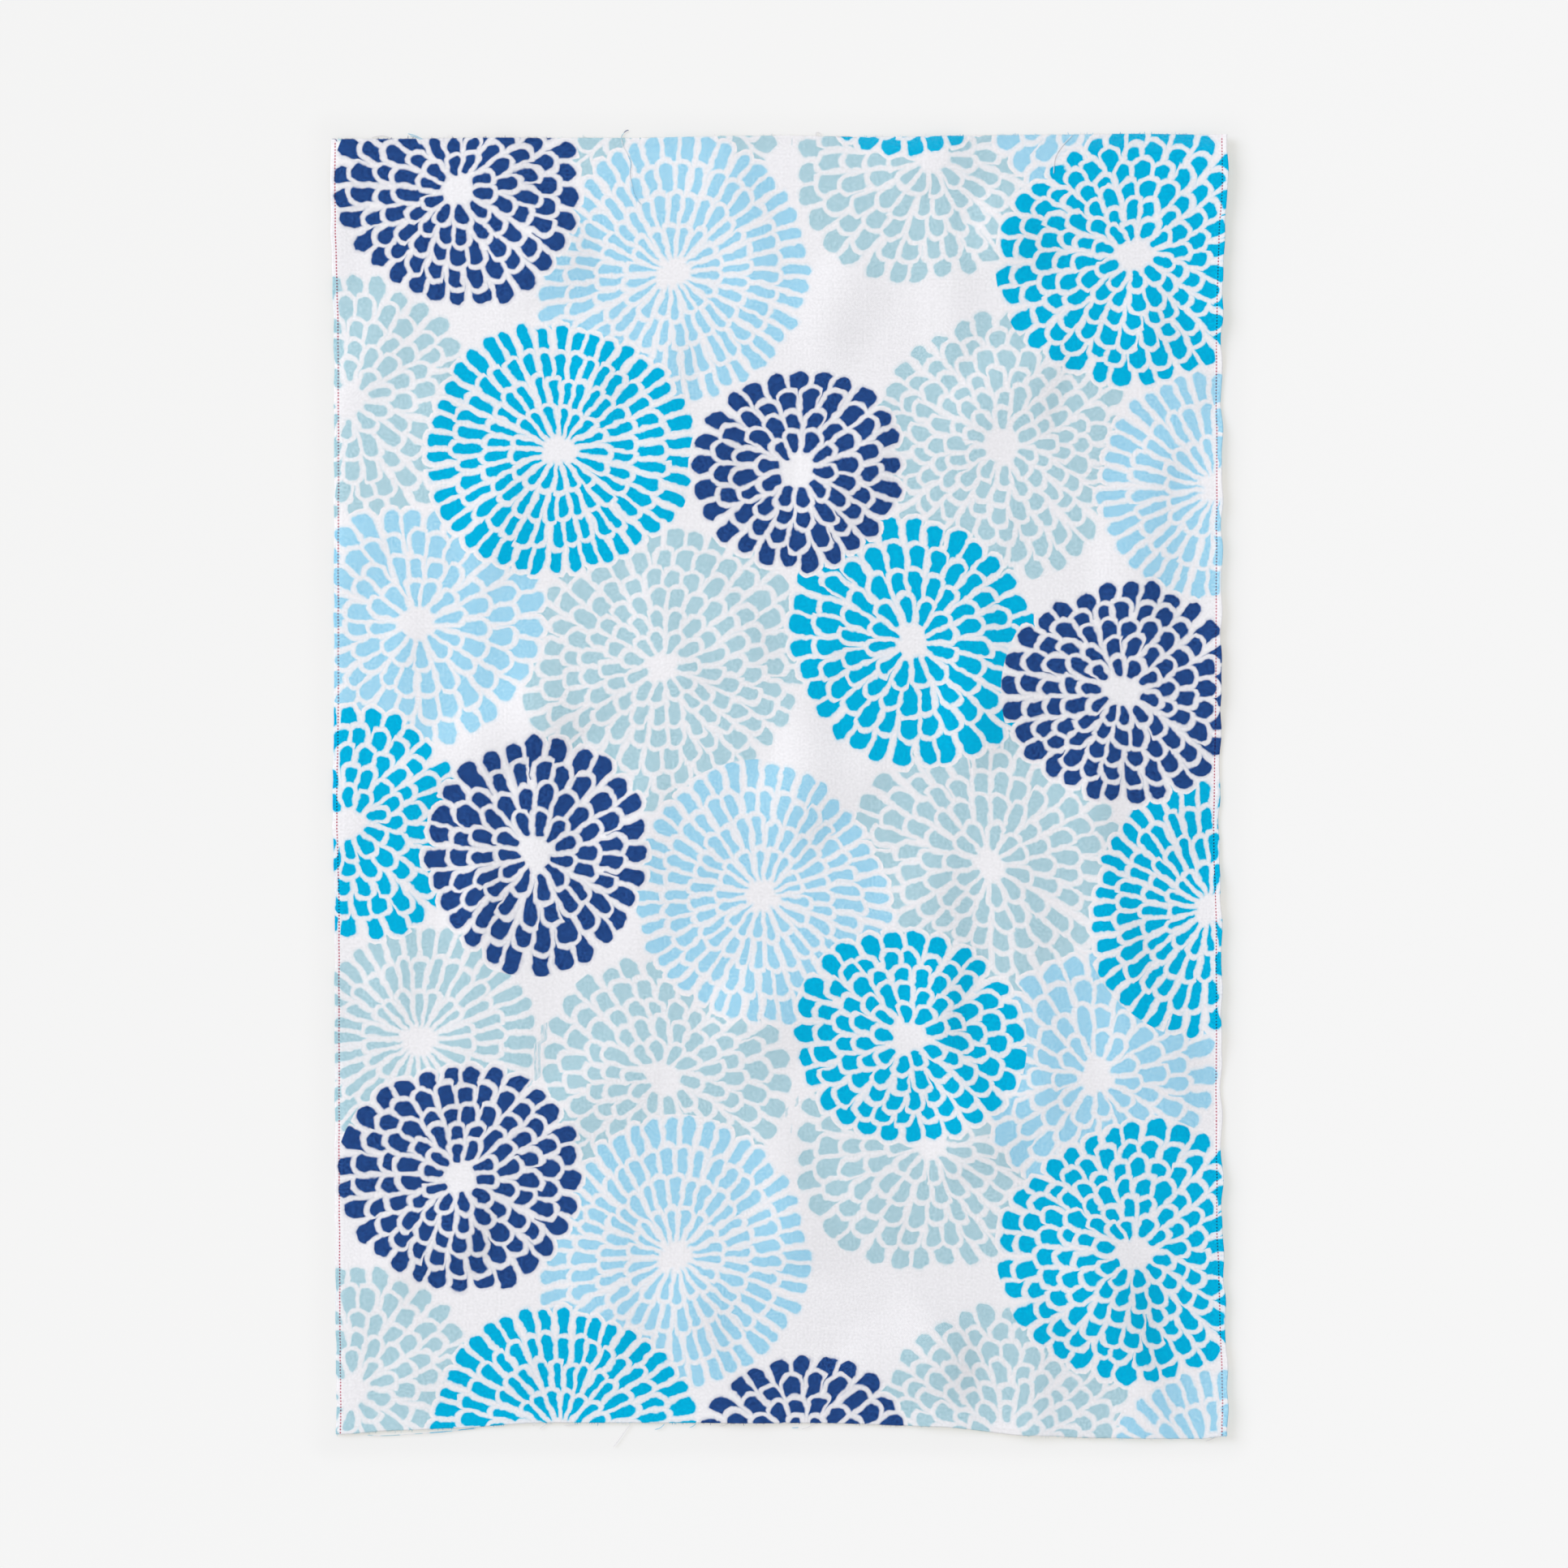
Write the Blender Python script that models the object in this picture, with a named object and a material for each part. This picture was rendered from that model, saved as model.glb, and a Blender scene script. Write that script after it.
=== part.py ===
"""A tenugui, the plain-woven cotton hand towel of Japan, lying face up and nearly flat.

It is one cut length of narrow cloth. Its long sides are the loom's own selvedges, and
its short ends are cut and left raw, so no hem or binding is sewn on.
Metres, +Z up. The origin is on the surface that the towel lies on, under its middle.
"""

import bmesh
import bpy
from mathutils import Vector

MM = 0.001

# The woven width, the cut length and the thickness of the modelled sheet.
CLOTH_WIDTH = 340.0 * MM
CLOTH_LENGTH = 495.0 * MM
SHEET_THICKNESS = 1.0 * MM

# Steps of the modelled sheet across the width and along the length.
CELLS_ACROSS = 40
CELLS_ALONG = 56

# How far each edge strays outwards from a straight one.
# Columns: share of the way along the edge, millimetres outwards.
# The selvedges run from the near end (0) to the far end (1).
LEFT_SELVEDGE = (
    (0.00, -1.5),
    (0.12, -1.1),
    (0.20, -0.9),
    (0.40, -0.9),
    (0.48, -0.1),
    (0.58, -0.6),
    (0.84, -0.6),
    (0.96, 0.6),
    (1.00, 0.6),
)
RIGHT_SELVEDGE = (
    (0.00, 0.3),
    (0.03, 0.6),
    (0.12, -0.6),
    (0.16, -1.5),
    (0.38, -1.7),
    (0.46, -2.5),
    (0.56, -1.9),
    (0.75, -1.5),
    (0.86, -1.6),
    (0.92, -0.8),
    (0.96, 0.4),
    (1.00, 0.3),
)
# The cut ends run from the left selvedge (0) to the right one (1).
NEAR_END = (
    (0.00, -0.7),
    (0.07, -2.2),
    (0.13, -3.0),
    (0.23, -5.1),
    (0.54, -5.0),
    (0.67, -3.8),
    (0.78, -0.4),
    (0.85, 0.6),
    (0.97, 0.9),
    (1.00, -0.4),
)
FAR_END = (
    (0.00, -1.5),
    (0.20, -1.0),
    (0.34, -1.0),
    (0.50, -0.1),
    (0.62, -0.7),
    (0.80, 0.2),
    (0.89, 0.6),
    (1.00, -0.1),
)

# Soft creases and lifted stretches of edge, where the cloth stands off the surface.
# Columns, in millimetres: start x, start y, end x, end y, half width, height.
CREASES = (
    (-90, 40, -93, -46, 15, 1.6),
    (-94, -50, -103, -120, 14, 1.2),
    (-116, 72, -114, -30, 12, 0.7),
    (64, 262, 66, 150, 13, 1.0),
    (57, -14, 67, -100, 14, 0.9),
    (88, -40, 104, -150, 16, 1.6),
    (97, -205, 95, -262, 13, 1.4),
    (137, -206, 142, -262, 13, 1.2),
)
LIFTED_EDGES = (
    (176, 250, 177, 182, 26, 3.4),
    (174, 128, 173, 34, 19, 2.4),
    (173, -26, 174, -72, 20, 2.8),
    (175, -150, 178, -250, 24, 3.2),
    (-70, -250, 58, -252, 15, 1.6),
    (-172, 236, -174, 176, 13, 1.3),
    (-174, -30, -173, -96, 12, 1.0),
)

COTTON = {"colour": (0.86, 0.87, 0.90, 1.0), "roughness": 0.92, "metallic": 0.0}


def smooth(share):
    """0 to 1 with a level start and end."""
    share = min(max(share, 0.0), 1.0)
    return share * share * (3.0 - 2.0 * share)


def strays(edge, share):
    """How far an edge stands outwards at this share of its length, in metres."""
    for (before, low), (after, high) in zip(edge, edge[1:]):
        if share <= after:
            return (low + (high - low) * smooth((share - before) / (after - before))) * MM
    return edge[-1][1] * MM


def place(across, along):
    """Where the point at these shares of the width and the length lies, seen from above."""
    left = -CLOTH_WIDTH / 2 - strays(LEFT_SELVEDGE, along)
    right = CLOTH_WIDTH / 2 + strays(RIGHT_SELVEDGE, along)
    near = -CLOTH_LENGTH / 2 - strays(NEAR_END, across)
    far = CLOTH_LENGTH / 2 + strays(FAR_END, across)
    return Vector((left + (right - left) * across, near + (far - near) * along))


def swell(point, row):
    """The height of one crease or lifted edge at a point, in metres, rounded off all round."""
    start, end = Vector(row[0:2]) * MM, Vector(row[2:4]) * MM
    half_width, height = row[4] * MM, row[5] * MM
    run = end - start
    share = min(max((point - start).dot(run) / run.length_squared, 0.0), 1.0)
    away = (point - start - run * share).length
    return height * smooth(1.0 - away / half_width)


def lift(point):
    """How far the cloth stands off the surface at a point, in metres."""
    creased = max(swell(point, row) for row in CREASES)
    lifted = max(swell(point, row) for row in LIFTED_EDGES)
    return creased + lifted


def cotton():
    """Undyed cotton, as the cloth's ground."""
    material = bpy.data.materials.new("cotton")
    material.use_nodes = True
    shader = material.node_tree.nodes["Principled BSDF"]
    shader.inputs["Base Color"].default_value = COTTON["colour"]
    shader.inputs["Roughness"].default_value = COTTON["roughness"]
    shader.inputs["Metallic"].default_value = COTTON["metallic"]
    return material


def laid_cloth():
    """The cloth's underside as a grid of cells, laid out and lifted."""
    grid = bmesh.new()
    bmesh.ops.create_grid(grid, x_segments=CELLS_ACROSS, y_segments=CELLS_ALONG, size=0.5)
    for vertex in grid.verts:
        spot = place(vertex.co.x + 0.5, vertex.co.y + 0.5)
        vertex.co = (spot.x, spot.y, lift(spot))
    mesh = bpy.data.meshes.new("tenugui_cloth")
    grid.to_mesh(mesh)
    grid.free()
    return mesh


def centre_on_origin(mesh):
    """Moves the mesh so that the middle of its box, seen from above, is over the origin."""
    xs = [vertex.co.x for vertex in mesh.vertices]
    ys = [vertex.co.y for vertex in mesh.vertices]
    middle = Vector(((min(xs) + max(xs)) / 2, (min(ys) + max(ys)) / 2, 0.0))
    for vertex in mesh.vertices:
        vertex.co -= middle


def tenugui():
    """The whole towel, one sheet of cloth, which its thickness builds upwards."""
    mesh = laid_cloth()
    centre_on_origin(mesh)
    mesh.materials.append(cotton())
    mesh.shade_smooth()
    towel = bpy.data.objects.new("tenugui_cloth", mesh)
    bpy.context.scene.collection.objects.link(towel)
    sheet = towel.modifiers.new("thickness", "SOLIDIFY")
    sheet.thickness = SHEET_THICKNESS
    sheet.offset = 1.0
    sheet.use_even_offset = True


for old in list(bpy.data.objects):
    bpy.data.objects.remove(old)
tenugui()
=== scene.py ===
import math

import bpy
import numpy as np
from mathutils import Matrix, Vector


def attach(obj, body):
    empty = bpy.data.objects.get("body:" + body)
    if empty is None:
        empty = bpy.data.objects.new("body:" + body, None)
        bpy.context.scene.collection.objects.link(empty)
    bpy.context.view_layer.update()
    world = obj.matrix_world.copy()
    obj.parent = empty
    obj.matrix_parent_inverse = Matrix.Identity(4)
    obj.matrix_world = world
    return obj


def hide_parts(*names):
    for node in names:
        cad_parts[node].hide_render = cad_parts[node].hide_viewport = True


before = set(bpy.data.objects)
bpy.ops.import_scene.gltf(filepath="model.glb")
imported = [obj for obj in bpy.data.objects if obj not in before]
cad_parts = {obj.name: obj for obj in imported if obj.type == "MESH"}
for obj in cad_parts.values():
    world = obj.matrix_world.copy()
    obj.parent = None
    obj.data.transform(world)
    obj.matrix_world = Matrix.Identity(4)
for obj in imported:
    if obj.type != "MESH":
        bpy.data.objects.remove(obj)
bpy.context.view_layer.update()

# A tenugui: one cut length of thin printed cotton, laid out flat and seen from above.
# Sizes are in millimetres until a mesh is made, and mm turns them into Blender's metres.
mm = 0.001
turn = 2 * math.pi


# The cloth, laid out

cloth = {
    "width": 340.0,          # between the outer threads of the two selvedges
    "length": 495.0,         # between the two cuts
    "thickness": 0.35,
    "cellAcross": 2.6,       # of the mesh
    "cellAlong": 1.8,
    "edgeCells": (0.0, 0.45, 0.9, 1.5, 2.3, 3.4),  # closer rows of points beside each edge
    "curlRight": 0.65,       # how far each edge but the left one curls up
    "curlNear": 0.75,
    "curlFar": 0.35,
    "curlWidth": 3.2,
    "curlNearWidth": 8.0,
    "riseLeft": 0.55,        # how far the cloth rises from the left edge, which lies on the floor
    "riseWidth": 7.0,
    "riseEnds": 34.0,
}
scallops = {
    "seed": 3,
    "count": 9,
    "shortest": 5.5,
    "longest": 26.0,
    "left": 0.10,            # how far the left selvedge waves
    "right": 0.26,
    "width": 2.6,
}

# how far each edge strays outwards: share of the way along it, millimetres
leftSelvedge = [(0.00, -1.5), (0.12, -1.1), (0.20, -0.9), (0.40, -0.9), (0.48, -0.1),
                (0.58, -0.6), (0.84, -0.6), (0.96, 0.6), (1.00, 0.6)]
rightSelvedge = [(0.00, 0.3), (0.03, 0.6), (0.12, -0.6), (0.16, -1.5), (0.38, -1.7), (0.46, -2.5),
                 (0.56, -1.9), (0.75, -1.5), (0.86, -1.6), (0.92, -0.8), (0.96, 0.4), (1.00, 0.3)]
nearEnd = [(0.00, -0.7), (0.07, -2.2), (0.13, -3.0), (0.23, -5.1), (0.54, -5.0), (0.67, -3.8),
           (0.78, -0.4), (0.85, 0.6), (0.97, 0.9), (1.00, -0.4)]
farEnd = [(0.00, -1.5), (0.20, -1.0), (0.34, -1.0), (0.50, -0.1), (0.62, -0.7),
          (0.80, 0.2), (0.89, 0.6), (1.00, -0.1)]

# start x, start y, end x, end y, half width, height
creases = [
    (-88, 75, -93, -60, 15, 1.2),
    (-93, -20, -104, -150, 15, 1.0),
    (-117, 90, -115, -90, 13, 0.8),
    (-144, 110, -146, -110, 14, 0.7),
    (62, 330, 67, 90, 15, 1.1),
    (56, 20, 68, -130, 15, 0.8),
    (86, -10, 106, -170, 17, 1.3),
    (97, -180, 95, -330, 14, 1.2),
    (137, -180, 142, -330, 14, 1.1),
    (118, 60, 124, -70, 15, 0.7),
]
creaseTaper = 0.35           # of its length, over which each end of a crease rises
liftedEdges = [
    (176, 250, 177, 182, 26, 3.4),
    (174, 128, 173, 34, 19, 2.2),
    (173, -42, 174, -92, 20, 2.4),
    (175, -150, 178, -250, 24, 1.9),
    (-70, -250, 40, -252, 15, 0.7),
    (60, -247, 130, -246, 14, 0.8),
    (-172, 236, -174, 176, 13, 1.3),
    (-174, -30, -173, -96, 12, 1.0),
]
ripples = {
    "seed": 11,
    "count": 26,
    "shortest": 26.0,
    "longest": 84.0,
    "height": 1.05,
    "crest": 1.7,            # how the sum of the waves makes up that height
    "soften": 0.06,
    "spread": 0.75,          # of their headings, as an angle
    "atEdge": 0.4,           # of that height, rising to all of it over the next width
    "edgeWidth": 26.0,
}


def smooth(share):
    share = np.clip(share, 0.0, 1.0)
    return share * share * (3.0 - 2.0 * share)


def strays(edge, share):
    places = np.array([row[0] for row in edge])
    outwards = np.array([row[1] for row in edge])
    after = np.clip(np.searchsorted(places, share), 1, len(edge) - 1)
    part = (share - places[after - 1]) / (places[after] - places[after - 1])
    return outwards[after - 1] + (outwards[after] - outwards[after - 1]) * smooth(part)


def scalloped(along, side):
    # the small waves of a selvedge that the loom's tension leaves
    draw = np.random.default_rng(scallops["seed"] + side)
    total = np.zeros_like(along)
    for _ in range(scallops["count"]):
        wave = draw.uniform(scallops["shortest"], scallops["longest"])
        total += np.sin(turn * along / wave + draw.uniform(0, turn))
    return total / math.sqrt(scallops["count"] / 2)


def seenFromAbove(u, v):
    # where a point of the cut cloth lies; u runs across it and v along it, from its middle
    across = u / cloth["width"] + 0.5
    along = v / cloth["length"] + 0.5
    left = -cloth["width"] / 2 - strays(leftSelvedge, along)
    right = cloth["width"] / 2 + strays(rightSelvedge, along)
    near = -cloth["length"] / 2 - strays(nearEnd, across)
    far = cloth["length"] / 2 + strays(farEnd, across)
    x = left + (right - left) * across
    atLeft = smooth(1 - across * cloth["width"] / scallops["width"])
    atRight = smooth(1 - (1 - across) * cloth["width"] / scallops["width"])
    x = x - scallops["left"] * scalloped(v, 0) * atLeft
    x = x + scallops["right"] * scalloped(v, 1) * atRight
    return x, near + (far - near) * along


def swell(x, y, row, taper=0.0):
    startX, startY, endX, endY, halfWidth, height = row
    runX, runY = endX - startX, endY - startY
    share = np.clip(((x - startX) * runX + (y - startY) * runY) / (runX ** 2 + runY ** 2), 0, 1)
    away = np.hypot(x - startX - runX * share, y - startY - runY * share)
    if taper:
        height = height * smooth(np.minimum(share, 1 - share) / taper)
    return height * smooth(1 - away / halfWidth)


def rippled(x, y, fromEdge):
    # small waves that pressing leaves, mostly in lines along the warp
    draw = np.random.default_rng(ripples["seed"])
    total = np.zeros_like(x)
    for _ in range(ripples["count"]):
        wave = draw.uniform(ripples["shortest"], ripples["longest"])
        heading = draw.normal(0.0, ripples["spread"])
        phase = draw.uniform(0, turn)
        total += wave * np.sin(turn * (x * math.cos(heading) + y * math.sin(heading)) / wave + phase)
    height = ripples["height"] * ripples["crest"]
    height = height / (ripples["longest"] * math.sqrt(ripples["count"] / 2))
    calm = ripples["atEdge"] + (1 - ripples["atEdge"]) * smooth(fromEdge / ripples["edgeWidth"])
    waves = height * total * calm
    return (waves + np.hypot(waves, ripples["soften"])) / 2    # the floor holds up what would sink


def surfaceAt(u, v):
    # where a point of the cloth's underside lies, and how high
    x, y = seenFromAbove(u, v)
    creased = np.max([swell(x, y, row, creaseTaper) for row in creases], axis=0)
    lifted = np.max([swell(x, y, row) for row in liftedEdges], axis=0)
    fromLeft = u + cloth["width"] / 2
    fromRight = cloth["width"] / 2 - u
    curl = cloth["curlRight"] * smooth(1 - fromRight / cloth["curlWidth"])
    fromNear = v + cloth["length"] / 2
    fromFar = cloth["length"] / 2 - v
    curl = np.maximum(curl, cloth["curlNear"] * smooth(1 - fromNear / cloth["curlNearWidth"]))
    curl = np.maximum(curl, cloth["curlFar"] * smooth(1 - fromFar / cloth["curlWidth"]))
    risen = np.minimum(fromLeft / cloth["riseWidth"], 1.0)
    risen = risen * (2 - risen) * smooth(1 - fromLeft / cloth["riseEnds"])
    fromEdge = np.minimum(np.minimum(fromLeft, fromRight), np.minimum(fromNear, fromFar))
    z = creased + lifted + curl + cloth["riseLeft"] * risen + rippled(x, y, fromEdge)
    return x - middle[0], y - middle[1], z


def boxMiddle():
    rim = np.linspace(-0.5, 0.5, 200)
    ends = np.full_like(rim, 0.5)
    xs = [seenFromAbove(side * ends * cloth["width"], rim * cloth["length"])[0] for side in (-1, 1)]
    ys = [seenFromAbove(rim * cloth["width"], side * ends * cloth["length"])[1] for side in (-1, 1)]
    return (np.min(xs) + np.max(xs)) / 2, (np.min(ys) + np.max(ys)) / 2


middle = boxMiddle()


# The print: heads of flowers in four blues, each a few rings of petals round a bare eye

inks = ["sage", "sky", "cyan", "navy"]       # in the order of printing
colours = {                                  # as the eye sees them, 0 to 255
    "bare": (240, 239, 243),
    "sage": (174, 208, 220),
    "sky": (160, 213, 239),
    "cyan": (0, 176, 222),
    "navy": (32, 68, 130),
    "red": (180, 38, 74),
    "pink": (238, 196, 212),
}
takes = {                    # how much more or less of an ink the cloth takes from place to place
    "sage": 0.46,            # each ink's swing, of the way to bare cloth
    "sky": 0.46,
    "cyan": 0.32,
    "navy": 0.64,
    "crossing": 0.4,         # shares of the swing: each crossing of threads
    "warp": 0.6,             # the crossings with the warp on top
    "fleck": 1.0,            # spots a few threads across
    "strip": 0.25,           # the strip outside the left coloured thread
    "stripWidth": 1.15,
}
misses = {
    "speck": 0.06,           # how much bare cloth shows in a speck
    "speckAbove": 0.64,      # of a noise from 0 to 1
    "hole": 0.08,            # and in the holes between the threads
    "holeUnder": 0.14,       # of the threads' height
    "cyan": 0.3,             # of that, in the cyan
    "dry": 0.5,
    "dryAbove": 0.52,
    "dryUnder": 0.45,
    "dryReach": 7.0,
}
uneven = {                   # how much lighter or darker the yarn is
    "thread": 0.045,         # each thread
    "band": 0.035,           # bands of thicker yarn
    "fleck": 0.26,
    "crossing": 0.05,        # each crossing of threads
    "warp": 0.06,            # the crossings with the warp on top
    "selvedge": 0.12,
}
petals = {                                   # ring pitch, petal width, root width as a share
    "kiku": (9.4, 8.6, 0.52),
    "pompon": (7.6, 8.4, 0.82),
    "burst": (10.8, 6.6, 0.36),
}
printed = {
    "repeat": 379.0,                         # along the cloth
    "gap": 2.03,                             # of bare cloth between petals
    "eye": 6.5,                              # radius of the bare eye
    "fewest": 8.0,                           # petals in a ring
    "smallestRing": 3.0,
    "growFrom": 0.62,                        # the petals' width at the eye, as a share
    "growBy": 0.42,
    "long": 1.95,                            # a petal's length, in ring pitches
    "nowhere": 50.0,                         # how far off a petal that a head lacks is put
    "lap": 0.8,                              # how far a ring reaches over the one below it
    "rim": 0.7,                              # of a ring, where lower heads may show between petals
    # of the ink that bled out, the thinned and the full ink: how far out, over what width, how much
    "edges": ((0.75, 1.10, 0.18), (0.10, 0.24, 0.85), (-0.12, 0.12, 1.0)),
    "farSide": -3.0,                         # past this, a point belongs to no head
}
# from the left, from the far cut, radius, kind, ink
heads = [
    (-122, 20, 45.2, "pompon", "navy"),
    (-40, 52, 51.8, "burst", "sky"),
    (58, 8, 50.3, "kiku", "sage"),
    (136, 46, 50.2, "pompon", "cyan"),
    (-164, 100, 48.9, "kiku", "sage"),
    (-84, 120, 49.7, "burst", "cyan"),
    (8, 128, 39.4, "pompon", "navy"),
    (86, 118, 49.6, "pompon", "sage"),
    (168, 134, 44.3, "burst", "sky"),
    (-138, 186, 47.1, "kiku", "sky"),
    (-44, 204, 54.6, "pompon", "sage"),
    (52, 194, 48.2, "kiku", "cyan"),
    (132, 212, 43.3, "pompon", "navy"),
    (-164, 262, 45.4, "pompon", "cyan"),
    (-92, 276, 44.2, "kiku", "navy"),
    (-6, 292, 49.3, "burst", "sky"),
    (82, 278, 52.7, "kiku", "sage"),
    (166, 294, 47.2, "burst", "cyan"),
    (-138, 346, 44.1, "burst", "sage"),
    (-44, 362, 46.3, "pompon", "sage"),
    (50, 346, 42.4, "pompon", "cyan"),
    (122, 358, 45.3, "kiku", "sky"),
]


def headsIn(ink):
    rows = []
    for x, fromFar, radius, kind, colour in heads:
        if colour != ink:
            continue
        pitch, width, root = petals[kind]
        rings = max(round((radius - printed["eye"]) / pitch), 2)
        pitch = (radius - printed["eye"]) / rings
        for again in (-1, 0, 1):
            y = cloth["length"] / 2 - fromFar - again * printed["repeat"]
            rows.append((x, y, radius, pitch, width, root))
    return np.array(rows)


def store(mesh, name, kind, values):
    field = "color" if kind == "FLOAT_COLOR" else "vector"
    layer = mesh.attributes.new(name, kind, "POINT")
    layer.data.foreach_set(field, np.ascontiguousarray(values, dtype=np.float32).ravel())


def putPrint(mesh, u, v):
    # tells the material where each point is on the cut cloth, and in which head of each ink
    store(mesh, "flat", "FLOAT_VECTOR", np.stack([u, v, np.zeros_like(u)], axis=1))
    for ink in inks:
        rows = headsIn(ink)
        overX = u[:, None] - rows[None, :, 0]
        overY = v[:, None] - rows[None, :, 1]
        reach = rows[None, :, 2] - np.hypot(overX, overY)
        nearest = np.argmax(reach, axis=1)
        every = np.arange(len(u))
        place = [overX[every, nearest], overY[every, nearest], reach[every, nearest]]
        store(mesh, ink + "Place", "FLOAT_VECTOR", np.stack(place, axis=1))
        store(mesh, ink + "Head", "FLOAT_COLOR", rows[nearest, 2:6])


# The coloured thread of each selvedge, which floats over the weft in short dashes
floats = {
    "fromLeft": 1.65,        # in from the selvedge
    "fromRight": 2.0,
    "pitch": 1.19,
    "length": 0.74,
    "width": 0.60,
    "proud": 0.07,
    "sides": 6,
}


# Shader arithmetic

class Value:
    # one value in a material; arithmetic on it adds Math nodes
    def __init__(self, tree, socket=None):
        self.tree = tree
        self.socket = socket

    def node(self, kind, settings, sockets, out=0):
        made = self.tree.nodes.new("ShaderNode" + kind)
        for name, setting in settings.items():
            setattr(made, name, setting)
        for name, value in sockets.items():
            if isinstance(value, Value):
                self.tree.links.new(value.socket, made.inputs[name])
            else:
                made.inputs[name].default_value = value
        return Value(self.tree, made.outputs[out])

    def math(self, operation, *values):
        return self.node("Math", {"operation": operation}, dict(enumerate(values)))

    def __add__(self, other):
        return self.math("ADD", self, other)

    def __radd__(self, other):
        return self.math("ADD", other, self)

    def __sub__(self, other):
        return self.math("SUBTRACT", self, other)

    def __rsub__(self, other):
        return self.math("SUBTRACT", other, self)

    def __mul__(self, other):
        return self.math("MULTIPLY", self, other)

    def __rmul__(self, other):
        return self.math("MULTIPLY", other, self)

    def __truediv__(self, other):
        return self.math("DIVIDE", self, other)

    def __rtruediv__(self, other):
        return self.math("DIVIDE", other, self)

    def __mod__(self, other):
        return self.math("FLOORED_MODULO", self, other)

    def __lt__(self, other):
        return self.math("LESS_THAN", self, other)

    def __gt__(self, other):
        return self.math("GREATER_THAN", self, other)

    def clamped(self):
        return self.node("Clamp", {}, {"Value": self})

    def parts(self):
        return [self.node("SeparateXYZ", {}, {0: self}, out) for out in range(3)]

    def scaling(self, colour):
        # the colour, made this many times as bright
        colour = colour if isinstance(colour, Value) else colour[:3]
        return self.node("VectorMath", {"operation": "SCALE"}, {0: colour, "Scale": self})

    def times(self, parts):
        # a colour or a place, with each of its three parts times another
        return self.node("VectorMath", {"operation": "MULTIPLY"}, {0: self, 1: parts[:3]})

    def noise(self, scale, detail=2.0, out=0):
        # smooth chance over the cloth, with this value as the place; out 0 is a number, 1 a colour
        sockets = {"Vector": self, "Scale": scale, "Detail": detail}
        return self.node("TexNoise", {"noise_dimensions": "2D"}, sockets, out)

    def mix(self, below, above):
        # a colour mix, with this value as the share of the colour above
        sockets = {"Factor": self, "A": below, "B": above}
        mixed = self.tree.nodes.new("ShaderNodeMix")
        mixed.data_type = "RGBA"
        for name, value in sockets.items():
            target = [s for s in mixed.inputs if s.name == name and s.enabled][0]
            if isinstance(value, Value):
                self.tree.links.new(value.socket, target)
            else:
                target.default_value = value
        return Value(self.tree, [s for s in mixed.outputs if s.enabled][0])


def linear(colour):
    # from what the eye sees, 0 to 255, to the light that a surface sends back
    shares = [c / 255 for c in colour]
    return [c / 12.92 if c < 0.04045 else ((c + 0.055) / 1.055) ** 2.4 for c in shares] + [1.0]


def newMaterial(name, roughness):
    material = bpy.data.materials.new(name)
    material.use_nodes = True
    shader = material.node_tree.nodes["Principled BSDF"]
    shader.inputs["Roughness"].default_value = roughness
    shader.inputs["Specular IOR Level"].default_value = 0.02
    return material, shader, Value(material.node_tree)


# The print as shader arithmetic

hand = {                     # how far the drawing strays from a ruled one
    "oval": 0.042,           # of the radius, twice round
    "lobes": 0.030,          # of the radius, three times round
    "angle": 0.32,           # of a petal's share of its ring
    "tip": 2.4,
    "width": 0.22,
    "clear": 0.45,           # of the gap, on each side of a petal
    "wobble": 2.6,
    "wobbleScale": 0.16,     # waves for each millimetre
    "grain": 0.3,
    "grainScale": 1.6,
}


def petalAway(k, r, angle, head):
    # how far a point is outside the nearest petal of ring k, where ring 0 is the rim
    tip = head["radius"] - k * head["pitch"]
    belly = tip.math("MAXIMUM", tip - 0.5 * head["width"], printed["smallestRing"])
    growing = head["width"] * (printed["growFrom"] + printed["growBy"] * tip / head["radius"])
    count = belly.math("MAXIMUM", belly.math("ROUND", turn * belly / growing), printed["fewest"])
    step = turn / count
    phase = step * (0.5 * (k % 2.0) + head["seed"])
    petal = belly.math("FLOOR", (angle - phase) / step)
    where = k.node("CombineXYZ", {}, {0: k, 1: petal % count, 2: head["number"]})
    chance = where.node("TexWhiteNoise", {"noise_dimensions": "3D"}, {"Vector": where}, 1)
    turned, longer, wider = chance.parts()
    centred = angle - phase - (petal + 0.5) * step
    off = centred + (turned - 0.5) * hand["angle"] * step
    end = tip + (longer - 0.5) * hand["tip"]
    bellyRadius = 0.5 * (step * belly - printed["gap"]) * (0.96 + hand["width"] * wider)
    rootRadius = bellyRadius * head["root"]
    length = k.math("MINIMUM", printed["long"] * head["pitch"], tip - printed["eye"])
    root = end - length + rootRadius
    spine = k.math("MAXIMUM", end - bellyRadius - root, 0.1)
    out = r * off.math("COSINE", off)
    aside = r * off.math("SINE", off)
    share = ((out - root) / spine).clamped()
    along = out - root - share * spine
    away = along.math("SQRT", along * along + aside * aside)
    away = away - rootRadius - (bellyRadius - rootRadius) * share
    # it keeps clear of the line halfway to the next petal
    beside = r * (0.5 * step - off.math("ABSOLUTE", centred))
    away = away.math("MAXIMUM", away, hand["clear"] * printed["gap"] - beside)
    missing = k.math("MAXIMUM", k < -0.5, k > head["rings"] - 0.5)
    return away + printed["nowhere"] * missing


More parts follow.
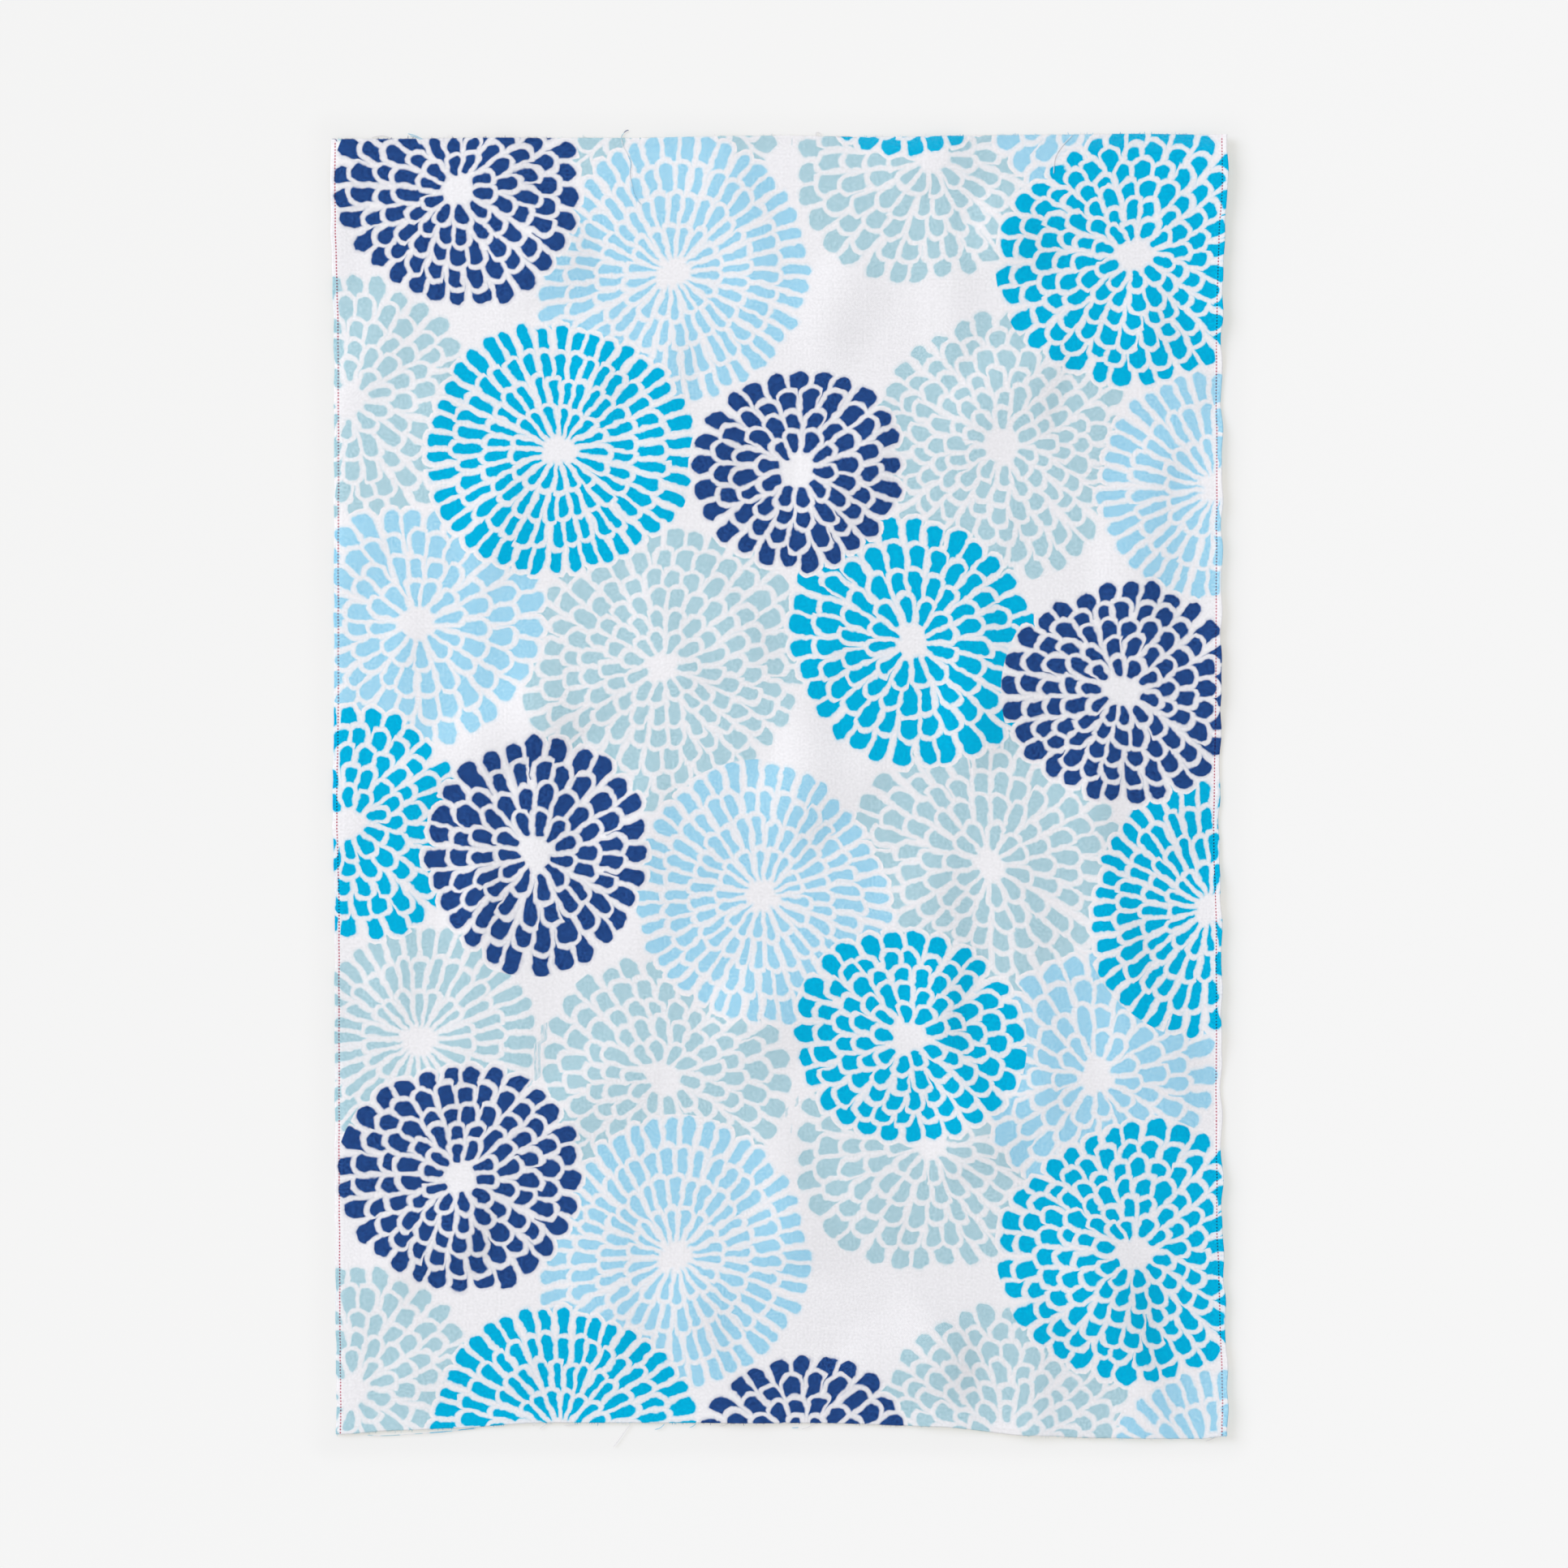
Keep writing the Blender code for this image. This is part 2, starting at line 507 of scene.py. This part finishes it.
def printLayer(paint, ink, wobble, ragged):
    # where this ink is, and where its heads keep the lower inks off
    place = paint.node("Attribute", {"attribute_name": ink + "Place"}, {}, 1)
    overX, overY, reach = place.parts()
    made = paint.node("Attribute", {"attribute_name": ink + "Head"}, {}, 0)
    root = paint.node("Attribute", {"attribute_name": ink + "Head"}, {}, 3)
    radius, pitch, width = made.parts()
    number = radius.math("ROUND", radius * 10.0)
    seed = (number * 0.37) % 1.0
    rings = radius.math("ROUND", (radius - printed["eye"]) / pitch)
    head = {"radius": radius, "pitch": pitch, "width": width, "root": root,
            "number": number, "seed": seed, "rings": rings}
    overX = overX + wobble[0]
    overY = overY + wobble[1]
    angle = radius.math("ARCTAN2", overY, overX)
    shape = 1.0 + hand["oval"] * radius.math("SINE", 2.0 * angle + 9.0 * seed)
    shape = shape + hand["lobes"] * radius.math("SINE", 3.0 * angle + 23.0 * seed)
    r = radius.math("SQRT", overX * overX + overY * overY) / shape
    k = radius.math("FLOOR", (radius - r + printed["gap"] + printed["lap"]) / pitch)
    k = radius.math("MINIMUM", k, rings)
    upper = petalAway(k, r, angle, head) + ragged
    lower = petalAway(k - 1.0, r, angle, head) + ragged
    # the lower ring's petals end a gap short of the upper ring's
    lower = radius.math("MAXIMUM", lower, printed["gap"] - upper)
    away = radius.math("MINIMUM", upper, lower)
    layers = []
    for outwards, width, share in printed["edges"]:
        layers.append((0.5 + (outwards - away) / width).clamped() * share)
    nearPetal = away < printed["gap"]
    cover = radius.math("MAXIMUM", nearPetal, r < radius - printed["rim"] * pitch)
    here = reach > printed["farSide"]
    return [layer * here for layer in layers], cover * here


weave = {
    "pitch": 0.385,          # from thread to thread
    "depth": 0.16,           # painted shade: how much darker the cloth's colour is made between threads, and lighter on their crowns
    "middle": 0.52,          # the mean height of the threads, from 0 to 1
    "smoothBand": 3.4,       # beside each selvedge, where the warp is dense
    "bump": 0.05,
    "raggedBy": 0.16,        # how far the threads drag the edge of the ink
}


def threads(paint, flat):
    # height of the plain weave at a point, 0 between threads and 1 on their crowns
    u, v, _ = flat.parts()
    u = u / weave["pitch"]
    v = v / weave["pitch"]
    column = u.math("FLOOR", u)
    row = v.math("FLOOR", v)
    warpUp = (column + row) % 2.0
    arcU = u.math("SINE", (u - column) * math.pi)
    arcV = v.math("SINE", (v - row) * math.pi)
    warp = arcU * (0.5 + 0.5 * arcV)
    weft = arcV * (0.5 + 0.5 * arcU)
    height = warpUp * warp + (1.0 - warpUp) * weft
    crossing = u.node("CombineXYZ", {}, {0: column, 1: row})
    chance = u.node("TexWhiteNoise", {"noise_dimensions": "2D"}, {"Vector": crossing}, 0)
    return height, warpUp, chance


def inkDepths(ink):
    # the ink where the cloth takes little of it, and where it takes much
    full = linear(colours[ink])[:3]
    bare = linear(colours["bare"])
    swings = [math.tanh(takes[ink] * math.log(b / max(c, 0.001))) for b, c in zip(bare, full)]
    paler = [c * (1 + swing) for c, swing in zip(full, swings)]
    deeper = [c * (1 - swing) for c, swing in zip(full, swings)]
    return paler + [1.0], deeper + [1.0]


def inkedColour(paint, flat, height, depth, bare, speckled):
    driftX, driftY, _ = flat.noise(hand["wobbleScale"], 2.0, 1).parts()
    wobble = [(driftX - 0.5) * hand["wobble"], (driftY - 0.5) * hand["wobble"]]
    grain = flat.noise(hand["grainScale"], 1.0)
    ragged = (grain - 0.5) * hand["grain"] + (0.5 - height) * weave["raggedBy"]
    colour = bare
    for ink in inks:
        (bled, wash, solid), cover = printLayer(paint, ink, wobble, ragged)
        colour = cover.mix(colour, bare)
        thinned = [(b + c) / 2 for b, c in zip(colours["bare"], colours[ink])]
        colour = bled.mix(colour, linear(colours[ink]))
        colour = wash.mix(colour, linear(thinned))
        colour = (solid * speckled[ink]).mix(colour, depth.mix(*inkDepths(ink)))
    return colour


def redThread():
    # the coloured thread of the selvedges, printed over with the rest of the cloth
    material, shader, paint = newMaterial("redThread", 0.8)
    flat = paint.node("Attribute", {"attribute_name": "flat"}, {}, 1)
    height, _, chance = threads(paint, flat)
    faded = flat.noise(0.35)
    white = (1.0, 1.0, 1.0, 1.0)
    printedOver = inkedColour(paint, flat, height, chance, white, {ink: 0.9 for ink in inks})
    colour = printedOver.times(linear(colours["red"]))
    colour = (faded * 0.2).mix(colour, printedOver)
    material.node_tree.links.new(colour.socket, shader.inputs["Base Color"])
    return material


def looseThread(name, ink):
    material, shader, paint = newMaterial(name, 0.85)
    where = paint.node("NewGeometry", {}, {}, 0)
    twist = paint.node("TexNoise", {}, {"Vector": where, "Scale": 3000.0, "Detail": 1.0}, 0)
    darker = [c * 0.8 for c in linear(colours[ink])[:3]] + [1.0]
    colour = twist.mix(darker, linear(colours[ink]))
    material.node_tree.links.new(colour.socket, shader.inputs["Base Color"])
    bump = paint.node("Bump", {}, {"Height": twist, "Distance": 0.05 * mm, "Strength": 0.5})
    material.node_tree.links.new(bump.socket, shader.inputs["Normal"])
    return material


def printedCotton():
    material, shader, paint = newMaterial("printedCotton", 0.9)
    flat = paint.node("Attribute", {"attribute_name": "flat"}, {}, 1)
    height, warpUp, chance = threads(paint, flat)

    # every thread is a little lighter or darker than the next, and slowly along its own length
    u, v, _ = flat.parts()
    outer = ((u.math("ABSOLUTE", u) - (cloth["width"] / 2 - weave["smoothBand"])) / 0.7).clamped()
    warpTone = flat.times((2.6, 0.02, 0)).noise(1.0)
    weftTone = flat.times((0.02, 2.6, 0)).noise(1.0)
    # and broader bands of thicker yarn cross the whole cloth
    warpBand = flat.times((0.9, 0.03, 0)).noise(1.0)
    weftBand = flat.times((0.03, 0.9, 0)).noise(1.0)
    fleck = flat.noise(1.3)
    tone = (warpTone + weftTone - 1.0) * uneven["thread"] + (warpBand + weftBand - 1.0) * uneven["band"]
    tone = tone + (fleck - 0.5) * uneven["fleck"] + (chance - 0.5) * uneven["crossing"]
    tone = tone - (warpUp - 0.5) * uneven["warp"]
    # the darker places are the ones that took more ink
    strip = u < takes["stripWidth"] - cloth["width"] / 2
    depth = 0.5 - (chance - 0.5) * takes["crossing"] - (fleck - 0.5) * takes["fleck"]
    depth = depth + (warpUp - 0.5) * takes["warp"] + strip * takes["strip"]
    # painted shade of the weave: the colour darkens between the threads and lightens on their crowns,
    # added to the yarn's own tone above
    relief = (height - weave["middle"]) * (1.0 - 0.6 * outer)
    paintedShadeAndTone = 1.0 + weave["depth"] * relief + tone + outer * (warpTone - 0.5) * uneven["selvedge"]

    # specks that the ink missed, and at the far cut the cyan ran dry between the threads
    mottle = flat.noise(2.2)
    missed = misses["speck"] * (mottle > misses["speckAbove"])
    missed = missed + misses["hole"] * (height < misses["holeUnder"])
    fromCut = (cloth["length"] / 2 - v) / misses["dryReach"]
    dry = (1.0 - fromCut).clamped() * misses["dry"]
    dry = dry * (mottle > misses["dryAbove"]) * (height < misses["dryUnder"])
    thin = 1.0 - missed
    cyanThin = (1.0 - misses["cyan"] * missed) * (1.0 - dry)
    speckled = {"sage": thin, "sky": thin, "cyan": cyanThin, "navy": thin}
    # the coloured thread shows through where it passes under the weft
    fromRed = u.math("MINIMUM", u.math("ABSOLUTE", u + cloth["width"] / 2 - floats["fromLeft"]),
                     u.math("ABSOLUTE", u - cloth["width"] / 2 + floats["fromRight"]))
    bare = (0.3 * (fromRed < 0.3)).mix(linear(colours["bare"]), linear(colours["pink"]))
    colour = inkedColour(paint, flat, height, depth, bare, speckled)
    colour = paintedShadeAndTone.scaling(colour)
    links = material.node_tree.links
    links.new(colour.socket, shader.inputs["Base Color"])

    roughness = 0.94 - 0.08 * height
    links.new(roughness.socket, shader.inputs["Roughness"])
    bumps = relief + (warpTone + weftTone) * 0.8
    bump = paint.node("Bump", {}, {"Height": bumps, "Distance": weave["bump"] * mm, "Strength": 0.6})
    links.new(bump.socket, shader.inputs["Normal"])
    return material


print("materials")
cottonMaterial = printedCotton()
redMaterial = redThread()
threadMaterials = {ink: looseThread(ink + "Thread", ink) for ink in ("bare", "sky", "navy")}


# The cloth's mesh

def meshFrom(name, points, faces, material):
    mesh = bpy.data.meshes.new(name)
    mesh.from_pydata(np.asarray(points) * mm, [], faces)
    mesh.materials.append(material)
    mesh.shade_smooth()
    piece = bpy.data.objects.new(name, mesh)
    bpy.context.scene.collection.objects.link(piece)
    return piece


def gridLines(size, cell):
    edge = [-size / 2 + step for step in cloth["edgeCells"]]
    inner = np.linspace(edge[-1], -edge[-1], round(-2 * edge[-1] / cell) + 1)[1:-1]
    return np.array(edge + list(inner) + [-x for x in reversed(edge)])


def layCloth():
    across = gridLines(cloth["width"], cloth["cellAcross"])
    along = gridLines(cloth["length"], cloth["cellAlong"])
    u, v = np.meshgrid(across, along)
    u, v = u.ravel(), v.ravel()
    x, y, z = surfaceAt(u, v)
    columns, rows = len(across), len(along)
    below = np.stack([x, y, z], axis=1)
    above = below + [0, 0, cloth["thickness"]]
    count = columns * rows
    first = (np.arange(rows - 1)[:, None] * columns + np.arange(columns - 1)[None, :]).ravel()
    top = np.stack([first, first + 1, first + columns + 1, first + columns], axis=1)
    faces = list(map(tuple, top)) + list(map(tuple, (top + count)[:, ::-1]))
    rim = list(range(columns)) + [columns * (i + 1) - 1 for i in range(1, rows)]
    rim += [count - 1 - i for i in range(1, columns)] + [columns * i for i in range(rows - 2, 0, -1)]
    for here, there in zip(rim, rim[1:] + rim[:1]):
        faces.append((here, here + count, there + count, there))
    piece = meshFrom("cloth", np.concatenate([above, below]), faces, cottonMaterial)
    putPrint(piece.data, np.tile(u, 2), np.tile(v, 2))
    spread = piece.data.uv_layers.new(name="OFBake")
    corners = np.empty(len(piece.data.loops), dtype=np.int32)
    piece.data.loops.foreach_get("vertex_index", corners)
    corners = corners % count
    margin = 0.006
    uv = np.stack([u[corners] / cloth["width"] + 0.5, v[corners] / cloth["length"] + 0.5], axis=1)
    spread.data.foreach_set("uv", (margin + uv * (1 - 2 * margin)).astype(np.float32).ravel())
    return piece


# Threads: the two frayed cuts, the coloured thread of the selvedges, and loose ends

fray = {
    "seed": 5,
    "pitch": 0.385,
    "uneven": 0.05,          # of the pitch, and of how far each one leans
    "lean": 0.25,
    "radius": 0.13,
    "least": 0.05,           # how far the ends stand out
    "usual": 0.22,
    "longest": 1.3,
    "sides": 3,
}
loose = {
    "radius": 0.15,
    "sides": 5,
    "step": 0.35,
    "slip": (0.8, 3.5),      # how far a printed thread has moved off its place in the print
}

# colour and the points that each loose thread passes, seen from above
looseFar = [
    ("navy", [(-170.6, 246.0), (-169.6, 246.3), (-168.7, 246.0), (-168.2, 245.3)]),
    ("bare", [(-155.2, 247.0), (-151.0, 247.6), (-147.1, 246.5)]),
    ("sky", [(-141.3, 248.4), (-138.5, 247.6), (-135.7, 246.2)]),
    ("sky", [(-140.4, 247.5), (-138.2, 247.0), (-136.4, 246.0)]),
    ("bare", [(-90.3, 247.4), (-88.4, 246.5)]),
    ("navy", [(-57.3, 249.7), (-58.2, 249.5), (-59.1, 248.7)]),
    ("print", [(-59.1, 248.7), (-60.0, 247.0), (-59.4, 243.7), (-57.5, 240.0), (-56.5, 237.1),
               (-56.9, 233.2), (-56.3, 229.7), (-55.0, 225.0), (-52.0, 220.6)]),
    ("bare", [(13.9, 247.4), (14.2, 248.9), (15.5, 248.6), (15.9, 247.2)]),
    ("bare", [(22.3, 247.1), (25.7, 247.5), (29.4, 246.8)]),
    ("bare", [(111.6, 247.7), (107.6, 243.4), (105.1, 239.1), (104.5, 233.2)]),
]
looseNear = [
    ("print", [(-156.7, -247.1), (-150.0, -247.3), (-140.0, -246.7), (-128.0, -245.8), (-115.6, -244.5)]),
    ("bare", [(-91.2, -244.7), (-89.0, -243.2), (-86.5, -242.6)]),
    ("bare", [(-81.9, -243.4), (-79.0, -243.3), (-76.7, -242.9)]),
    ("bare", [(-56.6, -243.0), (-58.7, -245.6), (-61.5, -249.6), (-63.1, -251.5)]),
    ("sky", [(-47.3, -245.0), (-45.2, -244.3), (-43.6, -242.8)]),
    ("sky", [(-34.0, -244.2), (-32.8, -243.7), (-31.5, -242.6)]),
    ("bare", [(-22.9, -243.6), (-21.0, -243.4), (-19.2, -242.5)]),
    ("sky", [(4.9, -244.3), (7.4, -244.2)]),
    ("bare", [(8.7, -244.8), (11.2, -243.9), (14.2, -242.5)]),
    ("bare", [(162.3, -249.3), (164.4, -248.6), (166.9, -247.1)]),
]


def tubes(strands, sides, flatten=1.0):
    # points and faces of a closed tube along each strand, which is points and a radius at each
    points, faces = [], []
    for line, radii in strands:
        first = len(points)
        for i, here in enumerate(line):
            ahead = line[min(i + 1, len(line) - 1)] - line[max(i - 1, 0)]
            ahead = ahead / np.linalg.norm(ahead)
            aside = np.cross(ahead, (0.0, 0.0, 1.0))
            aside = aside / max(np.linalg.norm(aside), 1e-6)
            up = np.cross(aside, ahead) * flatten
            for side in range(sides):
                angle = turn * side / sides
                points.append(here + radii[i] * (aside * math.cos(angle) + up * math.sin(angle)))
        for i in range(len(line) - 1):
            for side in range(sides):
                a = first + i * sides + side
                b = first + i * sides + (side + 1) % sides
                faces.append((a, b, b + sides, a + sides))
        faces.append(tuple(first + side for side in reversed(range(sides))))
        last = first + (len(line) - 1) * sides
        faces.append(tuple(last + side for side in range(sides)))
    return np.array(points), faces


def backToFlat(x, y):
    # the place on the cut cloth that lies at x, y
    u, v = x + middle[0], y + middle[1]
    for _ in range(4):
        nowX, nowY = seenFromAbove(u, v)
        u = u + x + middle[0] - nowX
        v = v + y + middle[1] - nowY
    return u, v


def frayedEnd(name, side):
    # the ends of the warp threads that stand out of a cut; side is 1 at the far one
    draw = np.random.default_rng(fray["seed"] + side)
    half = cloth["width"] / 2 - 0.3
    u = np.arange(-half, half, fray["pitch"])
    u = u + draw.normal(0, fray["uneven"], len(u))
    sticksOut = np.minimum(fray["least"] + draw.exponential(fray["usual"], len(u)), fray["longest"])
    lean = draw.normal(0, fray["lean"], len(u)) * sticksOut
    root = cloth["length"] / 2
    rows = []
    for share in (-0.5, 0.5, 1.0):
        outwards = sticksOut * share if share > 0 else np.full_like(u, share)
        x, y, z = surfaceAt(u, np.full_like(u, side * root))
        y = y + side * outwards
        x = x + lean * max(share, 0.0)
        droop = z * 0.25 * max(share, 0.0)
        rows.append(np.stack([x, y, z + cloth["thickness"] / 2 - droop], axis=1))
    lines = np.stack(rows, axis=1)
    radii = [fray["radius"], fray["radius"], fray["radius"] * 0.4]
    points, faces = tubes([(line, radii) for line in lines], fray["sides"])
    piece = meshFrom(name, points, faces, cottonMaterial)
    perEnd = 3 * fray["sides"]
    owner = np.arange(len(points)) // perEnd
    flatV = side * (root + np.clip(side * (points[:, 1] - lines[owner, 1, 1]), -0.5, 2.0))
    putPrint(piece.data, u[owner], flatV)
    return piece


def selvedgeFloats(name, u):
    draw = np.random.default_rng(29)
    half = cloth["length"] / 2
    v = np.arange(-half + 0.6, half - 0.6, floats["pitch"])
    v = v + draw.normal(0, 0.04, len(v))
    reach = floats["length"] * draw.uniform(0.8, 1.15, len(v)) / 2
    rows = []
    shares = (-1.0, -0.6, 0.0, 0.6, 1.0)
    for share in shares:
        x, y, z = surfaceAt(np.full_like(v, u), v + share * reach)
        z = z + cloth["thickness"] - 0.06 + floats["proud"] * (1 - share ** 2)
        rows.append(np.stack([x, y, z], axis=1))
    lines = np.stack(rows, axis=1)
    radii = [floats["width"] / 2 * math.sqrt(1.04 - share ** 2) for share in shares]
    points, faces = tubes([(line, radii) for line in lines], floats["sides"], 0.45)
    piece = meshFrom(name, points, faces, redMaterial)
    flatU, flatV = backToFlat(points[:, 0], points[:, 1])
    putPrint(piece.data, flatU, flatV)
    return piece


def curveThrough(stops, step):
    # a smooth line through the stops, with a point about every step
    stops = np.array(stops, dtype=float)
    stops = np.concatenate([[2 * stops[0] - stops[1]], stops, [2 * stops[-1] - stops[-2]]])
    line = []
    for a, b, c, d in zip(stops, stops[1:], stops[2:], stops[3:]):
        count = max(int(np.linalg.norm(c - b) / step), 2)
        for share in np.arange(count) / count:
            line.append(0.5 * (2 * b + (c - a) * share + (2 * a - 5 * b + 4 * c - d) * share ** 2
                               + (3 * b - a - 3 * c + d) * share ** 3))
    line.append(stops[-2])
    return np.array(line)


def looseThreads(name, rows, ink):
    strands = []
    for colour, stops in rows:
        if colour != ink:
            continue
        line = curveThrough(stops, loose["step"])
        u, v = backToFlat(line[:, 0], line[:, 1])
        inside = (np.abs(u) < cloth["width"] / 2) & (np.abs(v) < cloth["length"] / 2)
        u = np.clip(u, -cloth["width"] / 2, cloth["width"] / 2)
        v = np.clip(v, -cloth["length"] / 2, cloth["length"] / 2)
        cover = surfaceAt(u, v)[2] + cloth["thickness"]
        z = np.where(inside, cover, cover * 0.4) + loose["radius"]
        for _ in range(3):
            z[1:-1] = (z[:-2] + 2 * z[1:-1] + z[2:]) / 4
        z = np.maximum(z, np.where(inside, cover + 0.6 * loose["radius"], loose["radius"]))
        radii = np.full(len(line), loose["radius"])
        radii[0] = radii[-1] = loose["radius"] * 0.5
        strands.append((np.column_stack([line, z]), radii))
    points, faces = tubes(strands, loose["sides"])
    if ink != "print":
        return meshFrom(name, points, faces, threadMaterials[ink])
    piece = meshFrom(name, points, faces, cottonMaterial)
    flatU, flatV = backToFlat(points[:, 0], points[:, 1])
    putPrint(piece.data, flatU + loose["slip"][0], flatV + loose["slip"][1])
    return piece


print("cloth")
clothPiece = layCloth()

print("threads")
threadPieces = [
    frayedEnd("frayFar", 1),
    frayedEnd("frayNear", -1),
    selvedgeFloats("redThreadLeft", -cloth["width"] / 2 + floats["fromLeft"]),
    selvedgeFloats("redThreadRight", cloth["width"] / 2 - floats["fromRight"]),
    looseThreads("looseBareFar", looseFar, "bare"),
    looseThreads("looseSkyFar", looseFar, "sky"),
    looseThreads("looseNavyFar", looseFar, "navy"),
    looseThreads("looseWarpFar", looseFar, "print"),
    looseThreads("looseBareNear", looseNear, "bare"),
    looseThreads("looseSkyNear", looseNear, "sky"),
    looseThreads("looseWeftNear", looseNear, "print"),
]

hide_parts("tenugui_cloth")
for piece in [clothPiece] + threadPieces:
    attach(piece, "root")


# The floor, the light and the camera

studio = {
    "floor": (246, 246, 246),
    "paintedGlow": (0.42, 0.39, 0.28),              # of the floor's light is a painted glow that the floor gives off itself, which lightens the shadows on it
    "halo": 0.030,                           # painted shade: how much darker the floor is made beside the cloth
    "haloNear": 0.018,                       # and how much more painted shade beside the near end
    "haloNearFrom": 6.0,
    "haloWidth": 13.0,
    "sky": 0.727,
    "lampFrom": (-1.85, 1.0, 1.55),          # metres
    "lampWide": 1.7,
    "lampPower": 33.0,
    "lampShare": 0.28,                       # of the light on the floor
    "across": 597.2,                         # what the picture spans
    "lens": 85.0,
    "overX": 1.85,                           # the camera stands over this point
    "overY": 0.77,
}


def makeFloor():
    half = 30000.0
    points = [(-half, -half, -0.1), (half, -half, -0.1), (half, half, -0.1), (-half, half, -0.1)]
    material, shader, paint = newMaterial("paleFloor", 0.9)
    white = linear(studio["floor"])[:3]
    paintedGlow = [c * share for c, share in zip(white, studio["paintedGlow"])]
    x, y, _ = paint.node("NewGeometry", {}, {}, 0).parts()
    # painted shade on the floor, in a band round the cloth and deeper beside its near end
    outX = x.math("MAXIMUM", x.math("ABSOLUTE", x) / mm - cloth["width"] / 2, 0.0)
    outY = y.math("MAXIMUM", y.math("ABSOLUTE", y) / mm - cloth["length"] / 2, 0.0)
    near = (1.0 - x.math("SQRT", outX * outX + outY * outY) / studio["haloWidth"]).clamped()
    near = near * near * (3.0 - 2.0 * near)
    below = ((-cloth["length"] / 2 - y / mm) / studio["haloNearFrom"]).clamped()
    paintedFloorShade = 1.0 - (studio["halo"] + studio["haloNear"] * below) * near
    # evened out, as the photograph's ground is, against the lamp's falling off
    lampX, lampY, _ = studio["lampFrom"]
    reach = sum(c * c for c in studio["lampFrom"])
    towards = x * lampX + y * lampY
    away = reach - 2.0 * towards + x * x + y * y
    lampLight = reach * x.math("MAXIMUM", reach - towards, 0.0) / (away * away)
    evened = paintedFloorShade / (1.0 + studio["lampShare"] * (lampLight - 1.0))
    links = material.node_tree.links
    links.new(evened.scaling([c - g for c, g in zip(white, paintedGlow)]).socket, shader.inputs["Base Color"])
    # the floor's painted glow: emission that lightens the shadows on it, dimmed by the same painted shade
    links.new(paintedFloorShade.scaling(paintedGlow).socket, shader.inputs["Emission Color"])
    shader.inputs["Emission Strength"].default_value = 1.0
    return meshFrom("floor", points, [(0, 1, 2, 3)], material)


def makeLight():
    world = bpy.data.worlds.new("studio")
    bpy.context.scene.world = world
    world.use_nodes = True
    sky = world.node_tree.nodes["Background"]
    sky.inputs["Color"].default_value = (1.0, 1.0, 1.0, 1.0)
    sky.inputs["Strength"].default_value = studio["sky"]
    light = bpy.data.lights.new("softbox", "AREA")
    light.shape = "DISK"
    light.size = studio["lampWide"]
    light.energy = studio["lampPower"]
    lamp = bpy.data.objects.new("softbox", light)
    bpy.context.scene.collection.objects.link(lamp)
    lamp.location = studio["lampFrom"]
    lamp.rotation_mode = "QUATERNION"
    lamp.rotation_quaternion = Vector(studio["lampFrom"]).to_track_quat("Z", "Y")


def makeCamera():
    data = bpy.data.cameras.new("camera")
    data.lens = studio["lens"]
    camera = bpy.data.objects.new("camera", data)
    height = studio["across"] / data.sensor_width * data.lens
    camera.location = (studio["overX"] * mm, studio["overY"] * mm, height * mm)
    data.clip_end = 100.0
    bpy.context.scene.collection.objects.link(camera)
    bpy.context.scene.camera = camera


print("studio")
floor = makeFloor()
makeLight()
makeCamera()
bpy.context.scene.view_settings.view_transform = "Standard"
